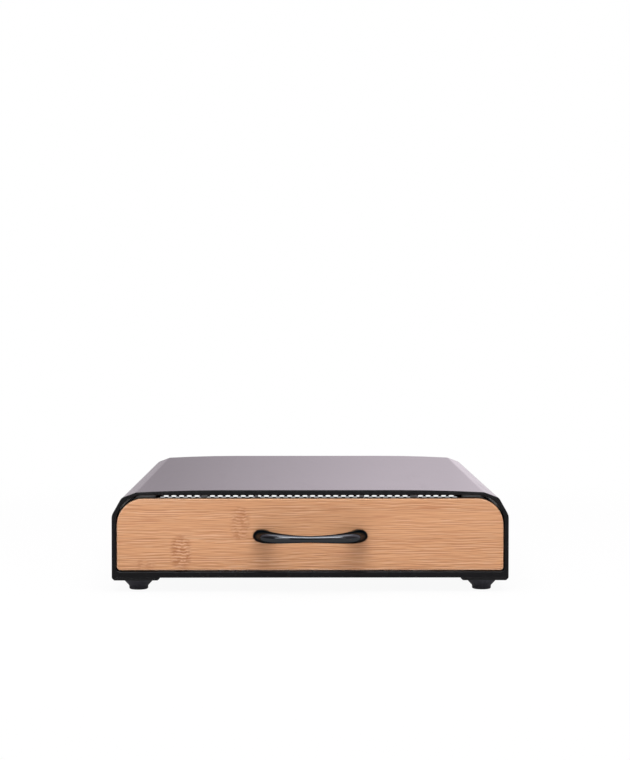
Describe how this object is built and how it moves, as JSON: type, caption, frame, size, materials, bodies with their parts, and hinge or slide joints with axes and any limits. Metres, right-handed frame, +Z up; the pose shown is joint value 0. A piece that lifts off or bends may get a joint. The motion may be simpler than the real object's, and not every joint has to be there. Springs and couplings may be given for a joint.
{
  "type": "coffee pod drawer",
  "caption": "Low black steel casing on rubber feet that a coffee machine stands on, with a bamboo-fronted sliding tray of pod lanes.",
  "frame": {"origin": "on the floor, under the middle of the whole object's box, pull handle included", "axes": "+X to the right seen from the front, +Y to the back (the drawer opens towards -Y), +Z up"},
  "size_m": [0.266, 0.3434, 0.0684],
  "materials": {
    "cover_paint": "gloss black coat",
    "frame_paint": "satin black coat",
    "tray_paint": "satin black coat",
    "mesh_paint": "satin black coat",
    "bamboo": "clear satin lacquer",
    "handle_gloss": "gloss black coat",
    "foot_rubber": "matt",
    "screw_steel": "zinc plated",
    "glide_plastic": "matt"
  },
  "bodies": {
    "casing": {"cover_shell": "cover_paint", "foot_screws": "screw_steel", "front_frame": "frame_paint", "front_left_corner_plate": "frame_paint", "front_left_foot": "foot_rubber", "front_right_corner_plate": "frame_paint", "front_right_foot": "foot_rubber", "left_front_glide": "glide_plastic", "left_runner": "frame_paint", "rear_frame": "frame_paint", "rear_left_corner_plate": "frame_paint", "rear_left_foot": "foot_rubber", "rear_right_corner_plate": "frame_paint", "rear_right_foot": "foot_rubber", "right_front_glide": "glide_plastic", "right_runner": "frame_paint"},
    "drawer": {"drawer_front": "bamboo", "front_screws": "screw_steel", "handle_screws": "screw_steel", "lane_divider_1": "tray_paint", "lane_divider_2": "tray_paint", "lane_divider_3": "tray_paint", "lane_divider_4": "tray_paint", "lane_divider_5": "tray_paint", "left_rear_glide": "glide_plastic", "mesh_frame": "tray_paint", "pull_handle": "handle_gloss", "right_rear_glide": "glide_plastic", "tray_pan": "tray_paint", "tray_rear_mesh": "mesh_paint"}
  },
  "joints": [
    {"name": "drawer_slide", "type": "slide", "parent": "casing", "child": "drawer", "axis": [0, -1, 0], "range_m": [0, 0.25]}
  ]
}
